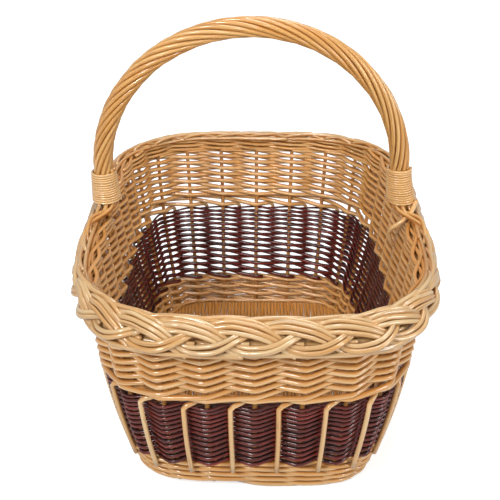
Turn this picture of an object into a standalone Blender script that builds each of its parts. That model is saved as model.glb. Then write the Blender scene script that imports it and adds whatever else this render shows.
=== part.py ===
"""Woven willow market basket with a fixed roped handle.

Metres, +Z up. The origin is on the floor under the middle of the base. The long
side runs along Y (front at -Y), and the handle crosses over the basket along X.
"""

import math

import bpy
import bmesh
import numpy as np
from mathutils import Vector

# Driving dimensions. Half sizes are those of the wall's middle surface.
BORDER_TOP = 0.230
BASE_HALF_X, RIM_HALF_X = 0.116, 0.155
BASE_HALF_Y, RIM_HALF_Y = 0.162, 0.210
BASE_SQUARENESS, RIM_SQUARENESS = 5.5, 4.0   # superellipse exponents of the outline
FLARE_BOW = 0.7                              # how much the side bows out on its way up
HANDLE_HALF_SPAN, HANDLE_RISE = 0.150, 0.1452
LEG_BEND_Z, HANDLE_SPRING_Z = 0.2075, 0.270   # where the legs leave the wall, and turn into the arch
HANDLE_SHIFT = -0.005                        # the bow was set a little to the left

GAP = 0.0003
WALL_HALF = 0.0055
FOOT_OUTSIDE = 0.0075
BASE_THICKNESS = 0.010
FOOT_TOP, DARK_TOP, LIGHT_TOP, WALL_TOP = 0.0400, 0.1350, 0.2060, 0.2160

STAKES = 32
STAKE_RADIUS, STAKE_CHANNEL = 0.0025, 0.0032
SPREAD = (-0.032, 0.033, 0.035, 0.100)       # stakes crowd at the corners and open out between
FOOT_SPREAD_Z, FOOT_SPREAD = 0.131, (0.0, -0.116, 0.0, 0.288)   # and more so towards the foot
RIB_RADIUS = 0.0023
STICKS, STICK_PITCH, STICK_RADIUS, STICK_CHANNEL = 7, 0.040, 0.0026, 0.0033

CORE_RADIUS, CORE_WALL_RADIUS, CORE_FOOT_Z = 0.0050, 0.0036, 0.150
CORE_CLEARANCE = 0.0005
RODS, ROD_RADIUS, ROD_RING, ROD_FOOT_RING = 10, 0.00225, 0.0077, 0.0092
ROD_FOOT_Z, ROPE_PITCH = 0.2325, 0.20
BINDING_LOW, BINDING_HIGH = 0.2345, 0.2690
BINDING_THICKNESS = 0.0024

# Border section: distance out from the wall's middle, height under the border's top.
BORDER_SECTION = (
    (-0.0090, -0.0137), (0.0078, -0.0137), (0.0085, -0.0265), (0.0150, -0.0275),
    (0.0205, -0.0235), (0.0220, -0.0155), (0.0165, -0.0075), (0.0065, -0.0015),
    (-0.0030, 0.0000), (-0.0095, -0.0030), (-0.0118, -0.0100),
)

AROUND = 48
OUTLINE_SAMPLES = 720


def empty_scene():
    for thing in list(bpy.data.objects):
        bpy.data.objects.remove(thing, do_unlink=True)


def willow(name, color, roughness):
    material = bpy.data.materials.new(name)
    material.use_nodes = True
    shader = material.node_tree.nodes["Principled BSDF"]
    shader.inputs["Base Color"].default_value = (*color, 1.0)
    shader.inputs["Roughness"].default_value = roughness
    shader.inputs["Metallic"].default_value = 0.0
    return material


def flare(z):
    """0 at the floor, 1 at the border's top."""
    t = z / BORDER_TOP
    return t + FLARE_BOW * t * (1 - t)


def half_sizes(z):
    g = flare(z)
    return (BASE_HALF_X + (RIM_HALF_X - BASE_HALF_X) * g,
            BASE_HALF_Y + (RIM_HALF_Y - BASE_HALF_Y) * g,
            BASE_SQUARENESS + (RIM_SQUARENESS - BASE_SQUARENESS) * g)


def outline(z, fractions, offset=0.0):
    """Points at these fractions of the way round (from the front's middle towards +X),
    pushed out by offset."""
    a, b, n = half_sizes(z)
    turn = np.linspace(-np.pi / 2, 3 * np.pi / 2, OUTLINE_SAMPLES + 1)
    c, s = np.cos(turn), np.sin(turn)
    reach = (np.abs(c / a) ** n + np.abs(s / b) ** n) ** (-1 / n)
    x, y = reach * c, reach * s
    length = np.concatenate([[0], np.cumsum(np.hypot(np.diff(x), np.diff(y)))])
    at = np.asarray(fractions) % 1.0 * length[-1]
    px, py = np.interp(at, length, x), np.interp(at, length, y)
    nx = np.sign(px) * np.abs(px / a) ** (n - 1) / a
    ny = np.sign(py) * np.abs(py / b) ** (n - 1) / b
    size = np.hypot(nx, ny)
    return [Vector((x0 + offset * u / h, y0 + offset * v / h, z))
            for x0, y0, u, v, h in zip(px, py, nx, ny, size)]


def stake_fraction(k, z):
    """Where stake k stands at height z, as a fraction of the way round."""
    turn = 2 * np.pi * k / STAKES
    foot = max((FOOT_SPREAD_Z - z) / FOOT_SPREAD_Z, 0.0)
    return k / STAKES + sum((upper + foot * lower) * np.sin(wave * turn) / (wave * 2 * np.pi)
                            for wave, upper, lower in zip((1, 2, 3, 4), SPREAD, FOOT_SPREAD))


def place(name, mesh, material):
    thing = bpy.data.objects.new(name, mesh)
    bpy.context.scene.collection.objects.link(thing)
    if material:
        mesh.materials.append(material)
    return thing


def mesh_from(name, rings, closed_rings=True):
    """A mesh through equal rings of points; the rings close into a loop, or get end caps."""
    bm = bmesh.new()
    rows = [[bm.verts.new(p) for p in ring] for ring in rings]
    pairs = list(zip(rows, rows[1:]))
    if closed_rings:
        pairs.append((rows[-1], rows[0]))
    for low, high in pairs:
        count = len(low)
        for i in range(count):
            j = (i + 1) % count
            bm.faces.new((low[i], low[j], high[j], high[i]))
    if not closed_rings:
        bm.faces.new(rows[0])
        bm.faces.new(rows[-1])
    bmesh.ops.recalc_face_normals(bm, faces=bm.faces)
    mesh = bpy.data.meshes.new(name)
    bm.to_mesh(mesh)
    bm.free()
    return mesh


def swept_ring(name, section, material):
    """A ring round the basket with this section of (distance out, height) points."""
    steps = np.arange(AROUND) / AROUND
    loops = [outline(z, steps, out) for out, z in section]
    sections = [[loop[i] for loop in loops] for i in range(AROUND)]
    return place(name, mesh_from(name, sections), material)


def wall_band(name, low, high, material, outside=WALL_HALF, middle=()):
    inner = [(-WALL_HALF, z) for z in (low, *middle, high)]
    outer = [(outside, z) for z in (high, *reversed(middle), low)]
    return swept_ring(name, inner + outer, material)


def rods(name, paths, radius, material, resolution=1):
    """Round rods along paths of (point, thickness factor), as one curve object."""
    curve = bpy.data.curves.new(name, "CURVE")
    curve.dimensions = "3D"
    curve.bevel_depth = radius
    curve.bevel_resolution = resolution
    curve.use_fill_caps = True
    for path in paths:
        spline = curve.splines.new("POLY")
        spline.points.add(len(path) - 1)
        for target, (point, factor) in zip(spline.points, path):
            target.co = (*point, 1.0)
            target.radius = factor
    return place(name, curve, material)


def tool(name, paths, radius, resolution=1):
    """The same rods as a mesh that cuts or joins others, and isn't a piece itself."""
    source = rods(name + "_curve", paths, radius, None, resolution)
    bpy.context.view_layer.update()
    graph = bpy.context.evaluated_depsgraph_get()
    mesh = bpy.data.meshes.new_from_object(source.evaluated_get(graph))
    bpy.data.objects.remove(source, do_unlink=True)
    bm = bmesh.new()
    bm.from_mesh(mesh)
    bmesh.ops.remove_doubles(bm, verts=bm.verts, dist=1e-6)
    bmesh.ops.recalc_face_normals(bm, faces=bm.faces)
    bm.to_mesh(mesh)
    bm.free()
    helper = place(name, mesh, None)
    helper.hide_render = True
    helper.display_type = "WIRE"
    return helper


def boolean(thing, helper, operation):
    modifier = thing.modifiers.new(helper.name, "BOOLEAN")
    modifier.operation = operation
    modifier.object = helper


def plain(points):
    return [(point, 1.0) for point in points]


def stake_path(k, levels):
    return [outline(z, [stake_fraction(k, z)])[0] for z in levels]


def make_stakes(material):
    levels = (0.004, FOOT_TOP, 0.065, 0.088, 0.112, DARK_TOP, 0.170, WALL_TOP - 0.0005)
    for k in range(STAKES):
        rods(f"side_stake_{k + 1:02d}", [plain(stake_path(k, levels))], STAKE_RADIUS, material)


def stake_channels():
    levels = (-0.010, FOOT_TOP, 0.065, 0.088, 0.112, DARK_TOP, 0.170, WALL_TOP + 0.010)
    paths = [plain(stake_path(k, levels)) for k in range(STAKES)]
    return tool("stake_channels", paths, STAKE_CHANNEL)


def rib_paths():
    """The butts of the upper weave's rods, brought down outside the dark band."""
    beside = WALL_HALF + GAP + RIB_RADIUS
    profile = ((beside, FOOT_TOP + 0.0008), (beside, 0.065), (beside, 0.088), (beside, 0.112), (beside, DARK_TOP + 0.0006),
               (beside - 0.0022, DARK_TOP + 0.0056), (beside - 0.0050, DARK_TOP + 0.0100))
    paths = []
    for k in range(STAKES):
        paths.append(plain([outline(z, [stake_fraction(k + 0.5, z)], out)[0] for out, z in profile]))
    return paths


def handle_point(s):
    """The bow's middle line: s runs 0..1 from the left foot over the top to the right foot."""
    leg = HANDLE_SPRING_Z - CORE_FOOT_Z
    arch = np.pi * (HANDLE_HALF_SPAN + HANDLE_RISE) / 2
    run = s * (2 * leg + arch)
    if leg <= run <= leg + arch:
        angle = np.pi * (run - leg) / arch
        return Vector((HANDLE_SHIFT - HANDLE_HALF_SPAN * np.cos(angle), 0.0,
                       HANDLE_SPRING_Z + HANDLE_RISE * np.sin(angle)))
    side = -1 if run < leg else 1
    z = CORE_FOOT_Z + (run if side < 0 else 2 * leg + arch - run)
    t = min(max((z - LEG_BEND_Z) / (HANDLE_SPRING_Z - LEG_BEND_Z), 0.0), 1.0)
    ease = t * t * (3 - 2 * t)
    half = (1 - ease) * half_sizes(min(z, LEG_BEND_Z))[0] + ease * HANDLE_HALF_SPAN
    return Vector((side * half + ease * HANDLE_SHIFT, 0.0, z))


def handle_run(z):
    """The value of s on the left leg at height z."""
    leg = HANDLE_SPRING_Z - CORE_FOOT_Z
    return (z - CORE_FOOT_Z) / (2 * leg + np.pi * (HANDLE_HALF_SPAN + HANDLE_RISE) / 2)


def core_factor(z):
    """The bow's ends are shaved thin where they go down into the weave."""
    t = min(max((z - LEG_BEND_Z) / (BINDING_LOW - LEG_BEND_Z), 0.0), 1.0)
    return (CORE_WALL_RADIUS + (CORE_RADIUS - CORE_WALL_RADIUS) * t) / CORE_RADIUS


def make_handle_core(material):
    legs = [handle_run(z) for z in (CORE_FOOT_Z, 0.180, LEG_BEND_Z, 0.220, BINDING_LOW, 0.250)]
    arch = list(np.linspace(handle_run(HANDLE_SPRING_Z), 1 - handle_run(HANDLE_SPRING_Z), 29))
    runs = legs + arch + [1 - s for s in reversed(legs)]
    points = [handle_point(s) for s in runs]
    path = [(point, core_factor(point.z)) for point in points]
    return rods("handle_core", [path], CORE_RADIUS, material, resolution=2)


def core_channels():
    paths = []
    for side in (-1, 1):
        legs = [handle_run(z) for z in (CORE_FOOT_Z - 0.0006, 0.180, LEG_BEND_Z, 0.220, BINDING_LOW, 0.250)]
        points = [handle_point(s if side < 0 else 1 - s) for s in legs]
        grow = CORE_CLEARANCE / CORE_RADIUS
        paths.append([(point, core_factor(point.z) + grow) for point in points])
    return tool("core_channels", paths, CORE_RADIUS, resolution=2)


def make_handle_rods(material):
    """Ten rods laid side by side round the bow, each winding round it."""
    first = handle_run(ROD_FOOT_Z)
    runs = [first + (1 - 2 * first) * i / 30 for i in range(31)]
    length = 2 * (HANDLE_SPRING_Z - CORE_FOOT_Z) + np.pi * (HANDLE_HALF_SPAN + HANDLE_RISE) / 2
    front = Vector((0, -1, 0))
    for i in range(RODS):
        path = []
        for s in runs:
            point = handle_point(s)
            ahead = (handle_point(s + 0.002) - handle_point(s - 0.002)).normalized()
            outward = front.cross(ahead)
            spread = min(max((HANDLE_SPRING_Z - point.z) / (HANDLE_SPRING_Z - ROD_FOOT_Z), 0.0), 1.0)
            ring = ROD_RING + (ROD_FOOT_RING - ROD_RING) * spread
            turn = math.tau * (i / RODS + (s - 0.5) * length / ROPE_PITCH)
            path.append(point + (outward * math.cos(turn) + front * math.sin(turn)) * ring)
        rods(f"handle_rod_{i + 1:02d}", [plain(path)], ROD_RADIUS, material)


def make_binding(name, side, material):
    """A closed sleeve of the size that the wound binding takes, wider at its foot."""
    rings = []
    sides = 16
    rod_outside = ROD_RADIUS + GAP + 0.0004
    corners = ((BINDING_LOW, ROD_FOOT_RING, 0.0), (BINDING_HIGH, ROD_RING, 0.0),
               (BINDING_HIGH, ROD_RING, BINDING_THICKNESS), (BINDING_LOW, ROD_FOOT_RING, BINDING_THICKNESS))
    for i in range(sides):
        turn = math.tau * i / sides
        ring = []
        for z, reach, extra in corners:
            s = handle_run(z) if side < 0 else 1 - handle_run(z)
            radius = (reach + rod_outside) / np.cos(np.pi / sides) + extra
            ring.append(handle_point(s) + Vector((math.cos(turn), math.sin(turn), 0)) * radius)
        rings.append(ring)
    place(name, mesh_from(name, rings), material)


def stick_rows():
    return [(i - (STICKS - 1) / 2) * STICK_PITCH for i in range(STICKS)]


def make_base(material):
    """A flat woven slab on seven sticks that run from side to side inside it."""
    inside = -(WALL_HALF + GAP + 0.0001)
    rim = outline(0.0, np.arange(AROUND) / AROUND, inside)
    rings = [[Vector((p.x, p.y, z)) for p in rim] for z in (0.0, BASE_THICKNESS)]
    slab = place("base_weave", mesh_from("base_weave", rings, closed_rings=False), material)
    middle = BASE_THICKNESS / 2
    a, b, n = half_sizes(0.0)
    channels = []
    for i, y in enumerate(stick_rows()):
        half = a * (1 - abs(y / b) ** n) ** (1 / n) + inside - 0.0015
        rods(f"base_stick_{i + 1}", [plain([Vector((-half, y, middle)), Vector((half, y, middle))])],
             STICK_RADIUS, material)
        channels.append(plain([Vector((-a - 0.02, y, middle)), Vector((a + 0.02, y, middle))]))
    boolean(slab, tool("stick_channels", channels, STICK_CHANNEL), "DIFFERENCE")


def make_walls(buff, dark):
    stakes = stake_channels()
    cores = core_channels()
    foot = wall_band("foot_wale", 0.0, FOOT_TOP, buff, outside=FOOT_OUTSIDE)
    lower = wall_band("dark_weave", FOOT_TOP + GAP, DARK_TOP, dark, middle=(0.088,))
    upper = wall_band("light_weave", DARK_TOP + GAP, LIGHT_TOP, buff, middle=(0.170,))
    wale = wall_band("top_wale", LIGHT_TOP + GAP, WALL_TOP, buff)
    border = swept_ring("border_plait", [(out, BORDER_TOP + drop) for out, drop in BORDER_SECTION], buff)
    boolean(upper, tool("rib_butts", rib_paths(), RIB_RADIUS), "UNION")
    for band in (foot, lower, upper, wale):
        boolean(band, stakes, "DIFFERENCE")
    for band in (upper, wale, border):
        boolean(band, cores, "DIFFERENCE")


def main():
    empty_scene()
    buff = willow("buff_willow", (0.62, 0.36, 0.13), 0.35)
    dark = willow("dark_willow", (0.085, 0.018, 0.014), 0.3)
    make_base(buff)
    make_walls(buff, dark)
    make_stakes(buff)
    make_handle_core(buff)
    make_handle_rods(buff)
    make_binding("left_binding", -1, buff)
    make_binding("right_binding", 1, buff)


main()
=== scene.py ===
"""The look of the woven willow market basket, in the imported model's frame.

Metres, +Z up. The long side runs along Y with the front at -Y; the handle crosses along X. Every
band, the border, the bow and the bindings are round rods, laid along the paths of the real weave.
"""

import math

import bmesh
import bpy
import numpy as np
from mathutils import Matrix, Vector


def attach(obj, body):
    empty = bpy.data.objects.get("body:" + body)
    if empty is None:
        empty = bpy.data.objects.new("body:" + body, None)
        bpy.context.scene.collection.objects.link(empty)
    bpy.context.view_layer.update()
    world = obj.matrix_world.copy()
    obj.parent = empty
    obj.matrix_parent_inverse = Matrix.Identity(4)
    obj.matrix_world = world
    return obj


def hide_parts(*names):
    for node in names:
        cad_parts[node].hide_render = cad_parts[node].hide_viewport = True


# The wall's middle surface, the bow and the places of stakes, sticks and bindings, as in the model.
# The stakes and the sticks themselves are a little thinner here.
BORDER_TOP = 0.230
BASE_HALF_X, RIM_HALF_X = 0.116, 0.155
BASE_HALF_Y, RIM_HALF_Y = 0.162, 0.210
BASE_SQUARENESS, RIM_SQUARENESS = 5.5, 4.0
FLARE_BOW = 0.7
HANDLE_HALF_SPAN, HANDLE_RISE, HANDLE_SPRING_Z, HANDLE_SHIFT = 0.150, 0.1452, 0.270, -0.005
CORE_FOOT_Z, ROD_FOOT_Z, ROPE_PITCH = 0.150, 0.2325, 0.20
HANDLE_RODS, ROD_RING, ROD_FOOT_RING = 10, 0.0077, 0.0092
LEG_BEND_Z = 0.2075
STAKES, STAKE_RADIUS = 32, 0.0024
SPREAD = (-0.032, 0.033, 0.035, 0.100)
FOOT_SPREAD_Z, FOOT_SPREAD = 0.131, (0.0, -0.116, 0.0, 0.288)
BINDING_LOW, BINDING_HIGH = 0.2345, 0.2690
BASE_STICKS, BASE_STICK_GAP, BASE_STICK_RADIUS, BASE_MIDDLE_Z = 7, 0.040, 0.0021, 0.0064

# The weave. Distances along it are in spaces between stakes: a rod tapers over its last TIP spaces,
# and EDGE keeps the last point of a run.
POINTS_PER_SPACE, TIP, EDGE = 7, 1.2, 1e-6
# A waling rod's height in its own thicknesses, and its way out from the wall, over three spaces.
WALE_PHASES = (0, 0.5, 1, 1.5, 2, 2.5, 3)
WALE_LEVELS = (0.34, 0.12, -0.24, -0.30, -0.02, 0.30, 0.34)
WALE_SWINGS = (1.22, 1.10, 0.93, 0.12, -0.98, -0.15, 1.22)

# The border: a sheet that curves from the inner top edge to the outer lower edge, and what changes
# near the handle. A strand's slant across the sheet and height over it repeat every three spaces.
BORDER_HALF, BORDER_INNER, BORDER_DROP, BORDER_WALL_Z = 0.0180, -0.0105, 0.0058, 0.2200
BORDER_FLAT, BORDER_STEEP = math.radians(10), math.radians(58)
NEAR_HANDLE, NEAR_STEP = 5.4, 2.6
NEAR_LEAN, NEAR_OUT, NEAR_NARROWING = math.radians(34), 0.0045, 0.42
PLAIT_HALF, PLAIT_LIFT, PLAIT_ROD = 0.0122, 0.0034, 0.00235
PLAIT_SLANT = ((0.02, 0.10, 0.22, 0.33, 0.43, 0.50, 0.57, 0.64, 0.74, 0.82, 0.90, 0.96),
               (-0.62, -0.76, -0.70, -0.42, -0.02, 0.42, 0.95, 1.06, 1.02, 0.72, 0.16, -0.34))
PLAIT_COVER = ((0.08, 0.16, 0.38, 0.45, 0.54, 0.60, 0.66, 0.76, 0.86, 0.92, 0.98),
               (0.1, 1.0, 1.0, 0.3, -1.1, -0.8, 0.0, 0.9, 0.8, -0.3, -0.9))

# The length of rod that one unit of grain covers, and how far chance moves the grain.
GRAIN_LENGTH, GRAIN_SHIFT = 0.03, 60

CAMERA_PLACE, CAMERA_TARGET = (0.00154, -0.81720, 0.63508), (-0.0062, 0.0, 0.1759)

rng = np.random.default_rng(7)
scene = bpy.context.scene


def look_at(thing, where, target):
    thing.location = where
    thing.rotation_mode = "QUATERNION"
    thing.rotation_quaternion = (Vector(target) - Vector(where)).to_track_quat("-Z", "Y")


def make_camera():
    scene.view_settings.view_transform = "Standard"
    data = bpy.data.cameras.new("camera")
    data.lens, data.sensor_width = 63.2, 36.0
    data.clip_start, data.clip_end = 0.05, 20.0
    camera = bpy.data.objects.new("camera", data)
    scene.collection.objects.link(camera)
    look_at(camera, CAMERA_PLACE, CAMERA_TARGET)
    scene.camera = camera


# ---------------------------------------------------------------- the wall and the bow

# The heights and turns at which the way round the wall is worked out.
LEVELS = np.linspace(-0.012, 0.240, 15)
TURN = np.linspace(-np.pi / 2, 3 * np.pi / 2, 1441)


def half_sizes(z):
    """The wall's half width, half length and squareness at height z."""
    t = np.asarray(z) / BORDER_TOP
    g = t + FLARE_BOW * t * (1 - t)
    return (BASE_HALF_X + (RIM_HALF_X - BASE_HALF_X) * g,
            BASE_HALF_Y + (RIM_HALF_Y - BASE_HALF_Y) * g,
            BASE_SQUARENESS + (RIM_SQUARENESS - BASE_SQUARENESS) * g)


def on_outline(turn, z):
    a, b, n = half_sizes(z)
    c, s = np.cos(turn), np.sin(turn)
    reach = (np.abs(c / a) ** n + np.abs(s / b) ** n) ** (-1 / n)
    return reach * c, reach * s


def way_round(z):
    """The share of the outline's length that each of the turns has reached at height z."""
    x, y = on_outline(TURN, z)
    length = np.concatenate([[0], np.cumsum(np.hypot(np.diff(x), np.diff(y)))])
    return length / length[-1]


WAYS = [way_round(z) for z in LEVELS]


def stake_fraction(k, z):
    """Where stake k stands at height z, as a fraction of the way round from the front's middle."""
    turn = 2 * np.pi * k / STAKES
    foot = np.clip((FOOT_SPREAD_Z - z) / FOOT_SPREAD_Z, 0, None)
    return k / STAKES + sum((upper + foot * lower) * np.sin(wave * turn) / (wave * 2 * np.pi)
                            for wave, upper, lower in zip((1, 2, 3, 4), SPREAD, FOOT_SPREAD))


def wall(k, z, out):
    """Points on the wall beside stake number k (it can lie between stakes), at these heights and
    distances out from the wall's middle surface."""
    k, z, out = np.broadcast_arrays(np.asarray(k, float), z, out)
    way = np.mod(stake_fraction(k, z), 1.0)
    table = np.array([np.interp(way, known, TURN) for known in WAYS])
    place = np.clip((z - LEVELS[0]) / (LEVELS[1] - LEVELS[0]), 0, len(LEVELS) - 1.001)
    low = place.astype(int)
    part = place - low
    each = np.arange(len(k))
    turn = table[low, each] * (1 - part) + table[low + 1, each] * part
    x, y = on_outline(turn, z)
    a, b, n = half_sizes(z)
    nx = np.sign(x) * np.abs(x / a) ** (n - 1) / a
    ny = np.sign(y) * np.abs(y / b) ** (n - 1) / b
    size = np.hypot(nx, ny)
    return np.column_stack((x + out * nx / size, y + out * ny / size, z))


def handle_length():
    return 2 * (HANDLE_SPRING_Z - CORE_FOOT_Z) + math.pi * (HANDLE_HALF_SPAN + HANDLE_RISE) / 2


def handle_point(s):
    """The bow's middle line: s runs 0..1 from the left foot over the top to the right foot."""
    leg = HANDLE_SPRING_Z - CORE_FOOT_Z
    arch = math.pi * (HANDLE_HALF_SPAN + HANDLE_RISE) / 2
    run = s * (2 * leg + arch)
    if leg <= run <= leg + arch:
        angle = math.pi * (run - leg) / arch
        return Vector((HANDLE_SHIFT - HANDLE_HALF_SPAN * math.cos(angle), 0.0,
                       HANDLE_SPRING_Z + HANDLE_RISE * math.sin(angle)))
    side = -1 if run < leg else 1
    z = CORE_FOOT_Z + (run if side < 0 else 2 * leg + arch - run)
    t = min(max((z - LEG_BEND_Z) / (HANDLE_SPRING_Z - LEG_BEND_Z), 0.0), 1.0)
    ease = t * t * (3 - 2 * t)
    half = (1 - ease) * float(half_sizes(min(z, LEG_BEND_Z))[0]) + ease * HANDLE_HALF_SPAN
    return Vector((side * half + ease * HANDLE_SHIFT, 0.0, z))


def handle_run(z):
    """The value of s on the left leg at height z."""
    return (z - CORE_FOOT_Z) / handle_length()


def on_leg(side, z):
    """The middle of the bow's left (-1) or right (1) leg at height z."""
    return handle_point(handle_run(z) if side < 0 else 1 - handle_run(z))


def foot_share(z):
    """0 above the bow's legs and 1 at the foot of its rods, where they stand furthest apart."""
    return min(max((HANDLE_SPRING_Z - z) / (HANDLE_SPRING_Z - ROD_FOOT_Z), 0.0), 1.0)


# ---------------------------------------------------------------- rods

def wander(count, size, pace=0.35):
    """A gentle wobble along a rod of this many points, nowhere much above this size."""
    full_turn, largest = 6.28, 1.7
    steps = np.arange(count)
    total = np.zeros(count)
    for octave in (1.0, 2.3, 4.1):
        total += np.sin(steps * pace * octave + rng.uniform(0, full_turn)) / octave
    return size * total / largest


def zigzag(k, sharpness):
    """+1 at even k, -1 at odd k, nearly straight between."""
    return np.arcsin(sharpness * np.cos(np.pi * k)) / np.arcsin(sharpness)


def softened(values):
    """The same values with their corners rounded off."""
    return np.convolve(np.pad(values, 2, mode="edge"), (0.1, 0.2, 0.4, 0.2, 0.1), mode="valid")


def tip_taper(n, steps, share):
    """1 along a rod, and less by this share at its tip."""
    return 1 - share * np.clip((n - steps + TIP) / TIP, 0, 1)


def in_mesh_order(blocks):
    """A row for each vertex, in the order that capped curves take as a mesh: the end rings from the
    last rod back to the first, and then every rod's own rings."""
    ends = [ring for block in reversed(blocks) for ring in (block[-1], block[0])]
    return np.concatenate(ends + [block.reshape(-1, block.shape[-1]) for block in blocks])


def add_spline(curve, points, radii):
    count = len(points)
    spline = curve.splines.new("POLY")
    spline.points.add(count - 1)
    spline.points.foreach_set("co", np.column_stack((points, np.ones(count))).ravel())
    spline.points.foreach_set("radius", np.ascontiguousarray(np.broadcast_to(radii, count)))
    spline.use_smooth = True


def grain_rows(points, ring):
    """The place round and along a rod, moved by chance so that no two rods show the same grain."""
    steps = np.linalg.norm(np.diff(points, axis=0), axis=1)
    along = np.concatenate([[0], np.cumsum(steps)]) / GRAIN_LENGTH
    shift = rng.uniform(0, GRAIN_SHIFT, 3)
    rows = np.empty((len(points), len(ring), 3))
    rows[:, :, 0] = np.cos(ring) + shift[0]
    rows[:, :, 1] = np.sin(ring) + shift[1]
    rows[:, :, 2] = along[:, None] + shift[2]
    return rows


def painted_groove_shade(away, outward):
    """How deep a spot lies in the weave's grooves, 0..1, which sets its painted shade: it grows as the
    spot turns away from the weave's outside. Where no outside is given, a rod's upper and lower sides are
    its grooves and get the painted shade."""
    edge_depth, slope = 0.62, 0.9
    tilt, upright_slope, cut = 0.15, 1.35, 0.45
    turned = edge_depth - slope * (away * outward).sum(axis=1)
    upright = np.abs(away[:, 2] + tilt) * upright_slope - cut
    return np.clip(np.where(np.abs(outward).sum(axis=1) > 0, turned, upright), 0, 1)


def add_attribute(mesh, label, kind, field, values):
    mesh.attributes.new(label, kind, "POINT").data.foreach_set(field, values.ravel())


def rods(name, strands, resolution, material, slot, *nodes):
    """One mesh of round rods. Each strand is (points, radii) or (points, radii, outward). The mesh
    carries, for each spot, its place in the grain, its rod's chance number and how deep it lies in
    the weave's grooves, which sets the painted shade there."""
    curve = bpy.data.curves.new(name, "CURVE")
    curve.dimensions = "3D"
    curve.bevel_depth = 1.0
    curve.bevel_resolution = resolution
    curve.use_fill_caps = True
    sides = 4 + 2 * resolution
    ring = 2 * np.pi * np.arange(sides) / sides
    grain, tint, middle, outside = [], [], [], []
    for points, radii, *outward in strands:
        points = np.asarray(points, float)
        add_spline(curve, points, radii)
        faces = np.zeros_like(points)
        if outward:
            faces = outward[0] / np.linalg.norm(outward[0], axis=1)[:, None]
        middle.append(np.repeat(points[:, None, :], sides, axis=1))
        outside.append(np.repeat(faces[:, None, :], sides, axis=1))
        grain.append(grain_rows(points, ring))
        tint.append(np.full((len(points), sides, 1), rng.uniform()))
    piece = bpy.data.objects.new(name, curve)
    scene.collection.objects.link(piece)
    bpy.ops.object.select_all(action="DESELECT")
    piece.select_set(True)
    bpy.context.view_layer.objects.active = piece
    bpy.ops.object.convert(target="MESH")
    piece = bpy.context.object
    mesh = piece.data
    add_attribute(mesh, "grain", "FLOAT_VECTOR", "vector", in_mesh_order(grain))
    add_attribute(mesh, "tint", "FLOAT", "value", in_mesh_order(tint))
    spots = np.empty(len(mesh.vertices) * 3)
    mesh.vertices.foreach_get("co", spots)
    away = spots.reshape(-1, 3) - in_mesh_order(middle)
    away /= np.maximum(np.linalg.norm(away, axis=1), 1e-9)[:, None]
    # How deep each spot lies in the weave's grooves: the mask for the painted shade there.
    add_attribute(mesh, "groove_shade", "FLOAT", "value", painted_groove_shade(away, in_mesh_order(outside)))
    bm = bmesh.new()
    bm.from_mesh(mesh)
    bmesh.ops.remove_doubles(bm, verts=bm.verts, dist=1e-6)
    bm.to_mesh(mesh)
    bm.free()
    mesh.materials.clear()
    mesh.materials.append(material)
    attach(piece, "root")
    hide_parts(*nodes)


# ---------------------------------------------------------------- finishes

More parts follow.
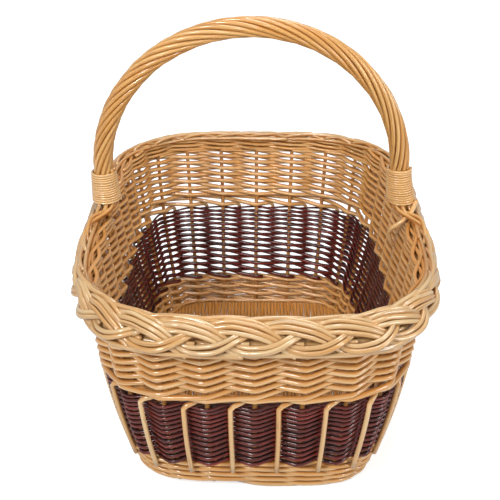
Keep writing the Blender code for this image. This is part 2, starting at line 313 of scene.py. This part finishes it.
def willow_look():
    """Shared effect: a rod's colour, roughness and surface height from its own grain, and painted
    shade in the weave's grooves.
    """
    group = bpy.data.node_groups.new("willow_look", "ShaderNodeTree")
    face = group.interface
    for label in ("Pale", "Warm", "Deep", "Crevice Shade"):
        face.new_socket(label, in_out="INPUT", socket_type="NodeSocketColor")
    for label in ("Streaks", "Dullness", "Groove Shading"):
        face.new_socket(label, in_out="INPUT", socket_type="NodeSocketFloat")
    face.new_socket("Color", in_out="OUTPUT", socket_type="NodeSocketColor")
    face.new_socket("Roughness", in_out="OUTPUT", socket_type="NodeSocketFloat")
    face.new_socket("Height", in_out="OUTPUT", socket_type="NodeSocketFloat")
    make, link = group.nodes.new, group.links.new
    enter, leave = make("NodeGroupInput"), make("NodeGroupOutput")

    def attribute(name):
        node = make("ShaderNodeAttribute")
        node.attribute_name = name
        return node

    def noise(scale, stretch, detail):
        bend = make("ShaderNodeVectorMath")
        bend.operation = "MULTIPLY"
        link(grain.outputs["Vector"], bend.inputs[0])
        bend.inputs[1].default_value = (1.0, 1.0, stretch)
        node = make("ShaderNodeTexNoise")
        node.inputs["Scale"].default_value = scale
        node.inputs["Detail"].default_value = detail
        link(bend.outputs[0], node.inputs["Vector"])
        return node.outputs["Fac"]

    def spread(value, low, high, to_low=0.0, to_high=1.0):
        node = make("ShaderNodeMapRange")
        link(value, node.inputs["Value"])
        for place, number in zip(("From Min", "From Max", "To Min", "To Max"),
                                 (low, high, to_low, to_high)):
            node.inputs[place].default_value = number
        return node.outputs["Result"]

    def math_node(operation, a, b):
        node = make("ShaderNodeMath")
        node.operation = operation
        for socket, value in zip(node.inputs, (a, b)):
            if isinstance(value, float):
                socket.default_value = value
            else:
                link(value, socket)
        return node.outputs[0]

    def mix(fac, a, b):
        node = make("ShaderNodeMix")
        node.data_type = "RGBA"
        link(fac, node.inputs["Factor"])
        link(a, node.inputs[6])
        link(b, node.inputs[7])
        return node.outputs[2]

    grain, tint, groove_shade = attribute("grain"), attribute("tint"), attribute("groove_shade")
    blotch = noise(scale=0.9, stretch=0.35, detail=2.0)
    fine = noise(scale=3.2, stretch=0.12, detail=4.0)
    knots = noise(scale=1.1, stretch=0.9, detail=1.0)
    body = math_node("ADD", math_node("MULTIPLY", tint.outputs["Fac"], 0.55),
                     spread(blotch, 0.3, 0.7, 0.0, 0.45))
    color = mix(body, enter.outputs["Pale"], enter.outputs["Warm"])
    marks = math_node("MULTIPLY", spread(fine, 0.52, 0.75), enter.outputs["Streaks"])
    color = mix(marks, color, enter.outputs["Deep"])
    color = mix(spread(knots, 0.70, 0.78, 0.0, 0.75), color, enter.outputs["Deep"])
    # Painted shade: the colour goes over to the shade colour in the weave's grooves.
    depth = math_node("MULTIPLY", groove_shade.outputs["Fac"], enter.outputs["Groove Shading"])
    color = mix(depth, color, enter.outputs["Crevice Shade"])
    roughness = math_node("ADD", enter.outputs["Dullness"], spread(fine, 0.3, 0.7, -0.06, 0.10))
    height = math_node("ADD", fine, spread(knots, 0.66, 0.78, 0.0, 1.5))
    link(color, leave.inputs["Color"])
    link(roughness, leave.inputs["Roughness"])
    link(height, leave.inputs["Height"])
    return group


def willow(name, look, pale, warm, deep, crevice_shade, streaks, dullness, coat, bump, grooves):
    """A rod's finish. Colours run from pale to warm by rod, with deep streaks and knots, and go over
    to a painted shade colour in the weave's grooves."""
    material = bpy.data.materials.new(name)
    material.use_nodes = True
    tree = material.node_tree
    shader = tree.nodes["Principled BSDF"]
    effect = tree.nodes.new("ShaderNodeGroup")
    effect.node_tree = look
    for label, color in (("Pale", pale), ("Warm", warm), ("Deep", deep), ("Crevice Shade", crevice_shade)):
        effect.inputs[label].default_value = (*color, 1.0)
    for label, amount in (("Streaks", streaks), ("Dullness", dullness), ("Groove Shading", grooves)):
        effect.inputs[label].default_value = amount
    height = tree.nodes.new("ShaderNodeBump")
    height.inputs["Strength"].default_value = bump
    height.inputs["Distance"].default_value = 0.0003
    tree.links.new(effect.outputs["Color"], shader.inputs["Base Color"])
    tree.links.new(effect.outputs["Roughness"], shader.inputs["Roughness"])
    tree.links.new(effect.outputs["Height"], height.inputs["Height"])
    tree.links.new(height.outputs["Normal"], shader.inputs["Normal"])
    shader.inputs["Coat Weight"].default_value = coat
    shader.inputs["Coat Roughness"].default_value = 0.07
    shader.inputs["Coat IOR"].default_value = 1.5
    return material


# ---------------------------------------------------------------- weaving

def dark_band(material):
    """One rod in every space, in and out by turns. It climbs less and thins as it goes round."""
    steps, lead, foot = 26, 0.2, 0.0405
    low_gap, high_gap = 0.0045, 0.00235
    low_thick, high_thick = 0.00224, 0.00162
    clearance, bulge, sag = 0.0004, 1.75, 0.0011
    n = np.arange(-lead, steps + EDGE, 1.0 / POINTS_PER_SPACE)
    thick = low_thick + (high_thick - low_thick) * np.clip(n / steps, 0, 1)
    side = zigzag(n + 1, 0.997)
    level = foot + low_gap * n + (high_gap - low_gap) * n * n / (2 * steps)
    level = level - sag * np.clip(side, 0, 1)
    strands = []
    for j in range(STAKES):
        jitter = wander(len(n), 0.00028)
        out = side * (STAKE_RADIUS + thick + clearance) + wander(len(n), 0.00025, 0.5)
        out = np.where(side > 0, out * bulge, out)
        strands.append((wall(j + n, level + jitter, out), thick * tip_taper(n, steps, 0.45)))
    rods("dark_weave_rods", strands, 1, material, "dark_willow", "dark_weave")


def light_level(n):
    """The height of a light rod n spaces on from its rib."""
    level, climb, slowing = 0.1392, 0.0046, 0.00003
    return level + climb * (n - 2) - slowing * (n - 2) ** 2


def light_band(material):
    """Each rod's butt stands outside the dark band as a rib. Its top bends over and goes inside the
    next stake, outside two, and then in and out by turns."""
    steps, foot_z, bend_z = 18, 0.0335, 0.1302
    rib_points, rib_radius, rib_foot_out, rib_top_out = 9, 0.00248, 0.0096, 0.0080
    low_thick, high_thick = 0.00272, 0.00248
    clearance, bulge, tuck, sag = 0.0003, 1.45, 0.95, 0.0010
    n = np.arange(0.5 + 0.5 / POINTS_PER_SPACE, steps + EDGE, 1 / POINTS_PER_SPACE)
    rise = np.clip((n - 0.5) / 0.5, 0, 1)
    thick = low_thick + (high_thick - low_thick) * n / steps
    # in at 1, out at 2 and 3, in at 4, then by turns
    turns = np.where(n < 2, n, np.where(n < 3, 2, n - 1))
    swing = zigzag(turns, 0.985)
    swing = np.where((n > 2) & (n < 3), 1 - 0.12 * np.sin(np.pi * (n - 2)), swing)
    out = swing * (STAKE_RADIUS + thick + clearance)
    out = np.where(out > 0, out * bulge, out * tuck)
    out = np.where(n < 1, rib_top_out + (out - rib_top_out) * rise ** 0.9, out)
    drop = np.where(n > 1.5, sag * np.clip(swing, 0, 1), 0.0)
    strands = []
    for j in range(STAKES):
        foot = foot_z + rng.uniform(-0.0012, 0.0012)
        bend = bend_z + rng.uniform(-0.0008, 0.0008)
        lean = wander(rib_points, 0.006, 0.4)
        rib = wall(j + 0.5 + lean, np.linspace(foot, bend - 0.003, rib_points),
                   np.linspace(rib_foot_out, rib_top_out, rib_points))
        level = np.where(n < 1, bend + (light_level(1) - bend) * rise, light_level(n)) - drop
        away = out + wander(len(n), 0.00025, 0.5)
        run = wall(j + n, level + wander(len(n), 0.00030), away)
        radii = np.concatenate([np.full(rib_points, rib_radius), thick * tip_taper(n, steps, 0.4)])
        strands.append((np.concatenate([rib, run]), radii))
    rods("light_weave_rods", strands, 1, material, "buff_willow", "light_weave")


def wale(name, node, material, low, rounds, rise, thick, reach):
    """Three rods that each go outside two stakes and inside one, laid over each other."""
    total = STAKES * rounds
    strands = []
    for m in range(3):
        start = -1.0
        while start < total:
            length = 3 * int(rng.integers(3, 5))
            n = np.arange(start, min(start + length, total + 1) + 0.35, 1 / POINTS_PER_SPACE)
            # 0: just come out, over the others; 1: under the next; 2: inside
            phase = np.mod(n, 3.0)
            level = softened(np.interp(phase, WALE_PHASES, WALE_LEVELS) * thick * 2)
            swing = softened(np.interp(phase, WALE_PHASES, WALE_SWINGS))
            z = low + rise * (n + m) / STAKES + level + wander(len(n), 0.0003)
            out = swing * reach + wander(len(n), 0.0003, 0.5)
            radii = thick * np.linspace(1.06, 0.90, len(n))
            strands.append((wall(n + m, np.maximum(z, thick * 1.05), out), radii))
            start += length
    rods(name, strands, 1, material, "buff_willow", node)


def stakes(material):
    """The uprights. Near the top they lean out a little, under the border."""
    count, foot_z, top_z, lean_z, lean = 16, 0.004, 0.2215, 0.205, 0.25
    z = np.linspace(foot_z, top_z, count)
    out = np.where(z > lean_z, (z - lean_z) * lean, 0.0)
    radii = np.linspace(STAKE_RADIUS * 1.03, STAKE_RADIUS * 0.94, count)
    strands = [(wall(k + wander(count, 0.006, 0.5), z, out), radii) for k in range(STAKES)]
    names = [f"side_stake_{k + 1:02d}" for k in range(STAKES)]
    rods("stake_rods", strands, 1, material, "buff_willow", *names)


# ---------------------------------------------------------------- the border

def beside_handle(k):
    """0 away from the handle and 1 next to it, with a soft step between."""
    apart = np.abs(np.mod(k, STAKES / 2) - STAKES / 4)
    near = np.clip((NEAR_HANDLE - apart) / NEAR_STEP, 0.0, 1.0)
    return near * near * (3 - 2 * near)


def braid_point(k, across, over):
    """A point of the border's plait: across runs from its inner top edge to its outer lower edge, and
    over is the height above the plait's middle sheet. Beside the handle the sheet stands steeper."""
    t = np.clip((across + BORDER_HALF) / (2 * BORDER_HALF), -0.1, 1.1)
    angle = BORDER_FLAT + (BORDER_STEEP - BORDER_FLAT) * t
    steps = np.linspace(-0.1, 1.1, 61)
    angles = BORDER_FLAT + (BORDER_STEEP - BORDER_FLAT) * steps[:-1]
    run = 2 * BORDER_HALF * (steps[1] - steps[0])
    outs = BORDER_INNER + np.concatenate([[0], np.cumsum(np.cos(angles) * run)])
    heights = BORDER_TOP - BORDER_DROP - np.concatenate([[0], np.cumsum(np.sin(angles) * run)])
    out_middle, z_middle = np.interp(0.5, steps, outs), np.interp(0.5, steps, heights)
    o = np.interp(t, steps, outs) + np.sin(angle) * over - out_middle
    d = np.interp(t, steps, heights) + np.cos(angle) * over - z_middle
    near = beside_handle(k)
    lean = NEAR_LEAN * near
    out = out_middle + NEAR_OUT * near + o * np.cos(lean) + d * np.sin(lean)
    place = wall(k, np.full(len(out), BORDER_WALL_Z), out)
    place[:, 2] = z_middle - o * np.sin(lean) + d * np.cos(lean)
    return place


def rounded(phase, places, values, soften):
    """A smooth repeating curve through these values, read at phase (0..1 and on)."""
    count = 360
    fine = np.arange(count) / count
    line = np.interp(fine, (places[-1] - 1, *places, places[0] + 1), (values[-1], *values, values[0]))
    weights = np.hanning(soften)
    line = np.convolve(np.concatenate([line] * 3), weights / weights.sum(), mode="same")
    line = line[count:2 * count]
    return np.interp(np.mod(phase, 1.0), np.append(fine, 1.0), np.append(line, line[0]))


def lay(strands, n, across, over, radii):
    """Adds a rod of the border, which is narrower beside the handle."""
    across = across * (1 - NEAR_NARROWING * beside_handle(n))
    spots = braid_point(n, across, over)
    strands.append((spots, radii, braid_point(n, across, over + 0.001) - spots))


def plait_rod(strands, start, end, beside, sink, size):
    """Adds a rod of the plait, this many radii to one side of its strand's middle and sunk this deep."""
    n = np.arange(start, end, 1 / 10)
    across = PLAIT_HALF * rounded(n / 3, *PLAIT_SLANT, soften=39) + beside * PLAIT_ROD
    across = across + wander(len(n), 0.0005, 0.3)
    over = PLAIT_LIFT * rounded(n / 3, *PLAIT_COVER, soften=33) - sink
    over = over + wander(len(n), 0.0004, 0.4)
    lay(strands, n, across, over, size * np.linspace(1.06, 0.92, len(n)))


def plait(material):
    """Three strands of two rods round the border, one crossing at each stake. A strand runs along the
    inner edge, slants down over the others, turns up at the outer edge and goes back beneath. Beside
    the handle the border is narrower and more open."""
    strands = []
    for beside in (-1.02, 1.02):
        for start in np.arange(-0.1, 3 * STAKES - 0.2, 6.0):
            plait_rod(strands, start - 0.2, start + 6.2, beside, 0.0, PLAIT_ROD * rng.uniform(0.93, 1.08))
    for k in range(0, 3 * STAKES, 3):
        if beside_handle(k + 0.9) < 0.7:
            plait_rod(strands, k - 0.10, k + 1.95, -2.8 + rng.uniform(-0.2, 0.2), 0.0008,
                      PLAIT_ROD * rng.uniform(0.86, 1.0))
            plait_rod(strands, k + 0.05, k + 1.75, 2.9 + rng.uniform(-0.2, 0.3), 0.0010,
                      PLAIT_ROD * rng.uniform(0.86, 1.04))
    edge_rods(strands)
    packing_rods(strands)
    rods("border_plait_rods", strands, 2, material, "buff_willow", "border_plait")


def edge_rods(strands):
    """Adds long rods, one after another along the border's inner edge. Each slides inwards, humps
    over the next and dives at its tip."""
    count, slide_in, hump, dive = 14, 0.0036, 0.0014, 0.0030
    part = np.linspace(0, 1, count)
    # where each row starts in its space, and how far it lies across and over
    rows = ((-0.35, -0.0128, 0.0018), (0.15, -0.0108, 0.0006))
    for k in range(STAKES):
        for first, across, over in rows[:1 if beside_handle(k) > 0.7 else 2]:
            n = np.linspace(k + first, k + first + rng.uniform(1.35, 1.6), count)
            slide = across - slide_in * np.sin(part * 1.75) + wander(count, 0.0003, 0.4)
            climb = over + hump * np.sin(part * 3.1) - dive * part ** 6
            radii = PLAIT_ROD * rng.uniform(0.90, 1.05) * np.linspace(1.0, 0.88, count)
            lay(strands, n, slide, climb, radii)


def packing_rods(strands):
    """Adds rods that fill the border from below and along its two edges."""
    drift_across, sag = 0.0012, 0.0010
    # how far each row lies across and over, its rods' radius and their length in spaces
    rows = ((-0.0164, -0.0026, 0.0023, 4.2), (0.0170, -0.0036, 0.0024, 3.7),
            (0.0135, -0.0062, 0.0023, 4.1), (-0.0030, -0.0066, 0.0028, 5.0),
            (0.0060, -0.0070, 0.0028, 3.3))
    for across, over, size, length in rows:
        for start in np.arange(rng.uniform(0, 3), STAKES + 2, length):
            n = np.arange(start - 0.3, start + length + 0.3, 1 / 6)
            drift = np.linspace(-1, 1, len(n))
            slide = across + drift_across * drift + wander(len(n), 0.0004, 0.3)
            lay(strands, n, slide, over - sag * drift ** 2, size * np.linspace(1.05, 0.85, len(n)))


# ---------------------------------------------------------------- the base

def base(material):
    """Rods from front to back, in and out of the sticks that run from side to side, and three rods
    round their ends."""
    a, b, n = (float(v) for v in half_sizes(0.0))
    strands = []
    for i in range(BASE_STICKS):
        y = (i - BASE_STICKS // 2) * BASE_STICK_GAP
        half = a * (1 - abs(y / b) ** n) ** (1 / n) - 0.004
        strands.append(([(x, y, BASE_MIDDLE_Z) for x in np.linspace(-half, half, 9)], BASE_STICK_RADIUS))
    names = [f"base_stick_{i + 1}" for i in range(BASE_STICKS)]
    rods("base_stick_rods", strands, 1, material, "buff_willow", *names)
    columns, points, margin, overlap, ease = 53, 49, 0.0045, 0.0003, 0.030
    weaver_radius, edge_radius = 0.00225, 0.0022
    strands = []
    for c, x in enumerate(np.linspace(-a + margin, a - margin, columns)):
        half = b * (1 - abs(x / a) ** n) ** (1 / n) - 0.001
        y = np.linspace(-half, half, points)
        side = zigzag(y / BASE_STICK_GAP + c % 2, 0.95) * np.clip((half - np.abs(y)) / ease, 0.0, 1.0)
        thick = weaver_radius * rng.uniform(0.95, 1.06)
        z = BASE_MIDDLE_Z + side * (BASE_STICK_RADIUS + thick - overlap)
        strands.append((np.column_stack((x + wander(points, 0.0003), y, z)), thick))
    k = np.arange(0, STAKES + 0.4, 0.2)
    for out, z in ((-0.0022, 0.0068), (-0.0052, 0.0052), (-0.0040, 0.0094)):
        line = wall(k, z + wander(len(k), 0.0004), out + wander(len(k), 0.0004))
        strands.append((line, edge_radius))
    rods("base_weave_rods", strands, 1, material, "buff_willow", "base_weave")


# ---------------------------------------------------------------- the handle

def soft_line(corners, count=24):
    """Points along a rod that bends gently past these corners."""
    corners = np.asarray(corners, float)
    steps = np.linalg.norm(np.diff(corners, axis=0), axis=1)
    along = np.concatenate([[0], np.cumsum(steps)])
    places = np.linspace(0, along[-1], count)
    line = np.column_stack([np.interp(places, along, corners[:, axis]) for axis in range(3)])
    for _ in range(5):
        line[1:-1] = (line[:-2] + 2 * line[1:-1] + line[2:]) / 4
    return line


def handle_tails(side):
    """The ends at a foot of the bow: rods that splay over the border in front and behind, and two
    short butts at the binding's top."""
    tail_radius, butt_radius = 0.0022, 0.0017
    # how far in and forward each tail starts, how far across the border it ends, and its run in spaces
    tails = ((0.0075, 0.0060, -0.0085, 2.3), (0.0015, 0.0085, -0.0030, 2.9),
             (-0.0065, 0.0065, 0.0070, 2.0), (0.0095, 0.0025, -0.0120, 1.5))
    foot = np.array(on_leg(side, BINDING_LOW))
    stake = STAKES // 4 if side > 0 else 3 * STAKES // 4
    strands = []
    for forward in (-1, 1):
        for inward, ahead, across, run in tails:
            start = foot + (-side * inward, forward * ahead, 0.004)
            drop = start + (-side * 0.001, forward * 0.004, -0.008)
            n = stake + forward * side * run * np.array((0.35, 0.6, 0.85, 1.0))
            rest = braid_point(n, across * np.array((1.0, 1.0, 0.8, 0.6)),
                               np.array((0.0052, 0.0046, 0.0030, -0.0020)))
            line = soft_line([start, drop, *rest])
            radii = tail_radius * np.linspace(1.05, 0.9, len(line))
            strands.append((line, radii, line * (4, 0, 0) + (0, 0, 1)))
    for x, y in ((-0.0085, -0.0062), (-0.0100, -0.0015)):
        butt = [foot + (side * x, y, z) for z in (0.026, 0.031, 0.0355, 0.0375)]
        strands.append((np.array(butt), butt_radius))
    return strands


def handle(material):
    """The bow: rods twisted round a core, with their ends at both feet."""
    count, rod_radius, uneven_twist = 121, 0.00236, 0.45
    turns = handle_length() / ROPE_PITCH
    first = handle_run(ROD_FOOT_Z)
    front = Vector((0, -1, 0))
    strands = []
    for i in range(HANDLE_RODS):
        points, faces = [], []
        for s in np.linspace(first, 1 - first, count):
            point = handle_point(s)
            ahead = (handle_point(s + 0.002) - handle_point(s - 0.002)).normalized()
            outward = front.cross(ahead)
            ring = ROD_RING + (ROD_FOOT_RING - ROD_RING) * foot_share(point.z)
            from_top = s - 0.5
            turn = math.tau * (i / HANDLE_RODS + turns * (from_top - uneven_twist * from_top ** 2))
            faces.append(outward * math.cos(turn) + front * math.sin(turn))
            points.append(point + faces[-1] * ring)
        points = np.array(points)
        for axis in range(3):
            points[:, axis] += wander(count, 0.0002, 0.15)
        radii = rod_radius * rng.uniform(0.93, 1.05) * np.linspace(1.04, 0.96, count)
        strands.append((points, radii, np.array(faces)))
    strands += handle_tails(-1) + handle_tails(1)
    names = [f"handle_rod_{i + 1:02d}" for i in range(HANDLE_RODS)]
    rods("handle_rods", strands, 2, material, "buff_willow", *names)
    core_radius, core_growth, growth_height = 0.0036, 0.0014, 0.027
    points = [handle_point(s) for s in np.linspace(0, 1, 90)]
    radii = [core_radius + core_growth * min(max((p.z - LEG_BEND_Z) / growth_height, 0), 1)
             for p in points]
    rods("handle_core_rod", [(points, radii)], 2, material, "buff_willow", "handle_core")


def binding(name, node, material, side, high, turns):
    """A close coil of cane. On the right its end crosses below the coil and hooks down."""
    coil_radius, end_radius, margin = 0.00125, 0.0024, 0.0012
    lift, foot_lift = 0.0040, 0.0010
    points = []
    for step in np.linspace(0, 1, turns * 20):
        z = BINDING_LOW + margin + (high - BINDING_LOW - 2 * margin) * step
        share = foot_share(z)
        radius = ROD_RING + (ROD_FOOT_RING - ROD_RING) * share + lift + foot_lift * share
        turn = math.tau * turns * step
        points.append(on_leg(side, z) + Vector((math.cos(turn), math.sin(turn), 0)) * radius)
    points = np.array(points)
    points[:, 2] += wander(len(points), 0.00018, 0.05)
    strands = [(points, coil_radius)]
    if side > 0:
        # from the middle of the leg at the coil's foot
        corners = ((0.0140, -0.0080, 0.0050), (0.0080, -0.0190, -0.0030),
                   (-0.0020, -0.0250, -0.0110), (-0.0110, -0.0240, -0.0180),
                   (-0.0135, -0.0170, -0.0270), (-0.0100, -0.0130, -0.0400),
                   (-0.0060, -0.0090, -0.0460))
        foot = np.array(on_leg(side, BINDING_LOW))
        strands.append((soft_line([foot + corner for corner in corners], 36), end_radius))
    rods(name, strands, 2, material, "buff_willow", node)


# ---------------------------------------------------------------- studio

def area(name, where, target, size, power, spread=math.pi):
    data = bpy.data.lights.new(name, "AREA")
    data.shape = "RECTANGLE"
    data.size, data.size_y = size
    data.energy = power
    data.spread = spread
    light = bpy.data.objects.new(name, data)
    scene.collection.objects.link(light)
    look_at(light, where, target)


def studio():
    """A white room: an even sky, four lights and a floor that glows for the camera alone."""
    sky_strength, floor_white, floor_glow, floor_size, floor_z = 0.53, 0.70, 0.62, 14.0, -0.0002
    world = bpy.data.worlds.new("studio")
    scene.world = world
    world.use_nodes = True
    sky = world.node_tree.nodes["Background"]
    sky.inputs["Color"].default_value = (1.0, 1.0, 1.0, 1.0)
    sky.inputs["Strength"].default_value = sky_strength
    area("key", (-0.70, -1.05, 1.10), (0, 0, 0.12), (0.30, 0.30), 12)
    area("top", (0.15, 0.10, 1.6), (0, 0, 0.1), (0.7, 0.4), 8.5)
    area("inner", (0, -0.55, 0.62), (0, 0.20, 0.13), (0.12, 0.12), 0.08, spread=math.radians(32))
    area("side", (1.2, -0.9, 0.8), (0, 0, 0.15), (0.35, 0.6), 9)
    bpy.ops.mesh.primitive_plane_add(size=floor_size, location=(0, 0, floor_z))
    floor = bpy.context.object
    floor.name = "floor"
    material = bpy.data.materials.new("floor")
    material.use_nodes = True
    nodes, links = material.node_tree.nodes, material.node_tree.links
    shader = nodes["Principled BSDF"]
    shader.inputs["Base Color"].default_value = (floor_white, floor_white, floor_white, 1)
    shader.inputs["Roughness"].default_value = 0.9
    shader.inputs["Specular IOR Level"].default_value = 0.1
    shader.inputs["Emission Color"].default_value = (1, 1, 1, 1)
    path = nodes.new("ShaderNodeLightPath")
    glow = nodes.new("ShaderNodeMath")
    glow.operation = "MULTIPLY"
    glow.inputs[1].default_value = floor_glow
    links.new(path.outputs["Is Camera Ray"], glow.inputs[0])
    links.new(glow.outputs[0], shader.inputs["Emission Strength"])
    floor.data.materials.append(material)


# ---------------------------------------------------------------- the basket

make_camera()
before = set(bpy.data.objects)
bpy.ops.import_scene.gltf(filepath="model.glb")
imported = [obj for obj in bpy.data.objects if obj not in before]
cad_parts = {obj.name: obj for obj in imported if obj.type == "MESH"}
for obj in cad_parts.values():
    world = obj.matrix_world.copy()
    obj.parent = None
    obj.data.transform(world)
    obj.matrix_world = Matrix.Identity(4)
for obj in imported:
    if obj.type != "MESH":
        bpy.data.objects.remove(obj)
bpy.ops.object.select_all(action="DESELECT")
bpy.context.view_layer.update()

look = willow_look()
# In each finish, the last colour and the grooves amount paint shade into the weave's grooves.
buff = willow("buff_willow", look, pale=(0.75, 0.52, 0.255), warm=(0.655, 0.315, 0.075),
              deep=(0.24, 0.070, 0.010), crevice_shade=(0.50, 0.190, 0.022),
              streaks=0.6, dullness=0.34, coat=0.9, bump=0.30, grooves=0.90)
rim = willow("border_willow", look, pale=(0.610, 0.445, 0.235), warm=(0.530, 0.265, 0.070),
             deep=(0.22, 0.065, 0.010), crevice_shade=(0.40, 0.135, 0.012),
             streaks=0.7, dullness=0.32, coat=1.0, bump=0.30, grooves=0.95)
bow = willow("handle_willow", look, pale=(0.670, 0.405, 0.145), warm=(0.555, 0.250, 0.045),
             deep=(0.24, 0.065, 0.008), crevice_shade=(0.40, 0.12, 0.010),
             streaks=0.6, dullness=0.32, coat=1.0, bump=0.30, grooves=1.0)
# The stakes' darker, warmer colour is painted shade: they are seen in the shaded gaps behind the weave.
shaded_stakes = willow("stake_willow", look, pale=(0.58, 0.28, 0.08), warm=(0.42, 0.16, 0.03),
              deep=(0.14, 0.04, 0.01), crevice_shade=(0.25, 0.09, 0.01),
              streaks=0.5, dullness=0.40, coat=0.6, bump=0.35, grooves=0.5)
cane = willow("binding_cane", look, pale=(0.88, 0.62, 0.32), warm=(0.76, 0.44, 0.15),
              deep=(0.30, 0.10, 0.02), crevice_shade=(0.46, 0.18, 0.02),
              streaks=0.35, dullness=0.26, coat=1.0, bump=0.25, grooves=0.75)
dark = willow("dark_willow", look, pale=(0.27, 0.026, 0.015), warm=(0.045, 0.004, 0.004),
              deep=(0.007, 0.002, 0.002), crevice_shade=(0.007, 0.001, 0.001),
              streaks=0.5, dullness=0.28, coat=0.55, bump=0.3, grooves=0.9)
dark.node_tree.nodes["Principled BSDF"].inputs["Specular IOR Level"].default_value = 0.25

base(buff)
wale("foot_wale_rods", "foot_wale", buff, low=0.0048, rounds=4.0, rise=0.0090, thick=0.00245, reach=0.0054)
dark_band(dark)
light_band(buff)
wale("top_wale_rods", "top_wale", buff, low=0.2048, rounds=3.6, rise=0.0050, thick=0.0021, reach=0.0048)
stakes(shaded_stakes)
plait(rim)
handle(bow)
binding("left_binding_cane", "left_binding", cane, side=-1, high=BINDING_HIGH, turns=13)
binding("right_binding_cane", "right_binding", cane, side=1, high=BINDING_HIGH + 0.005, turns=15)
studio()
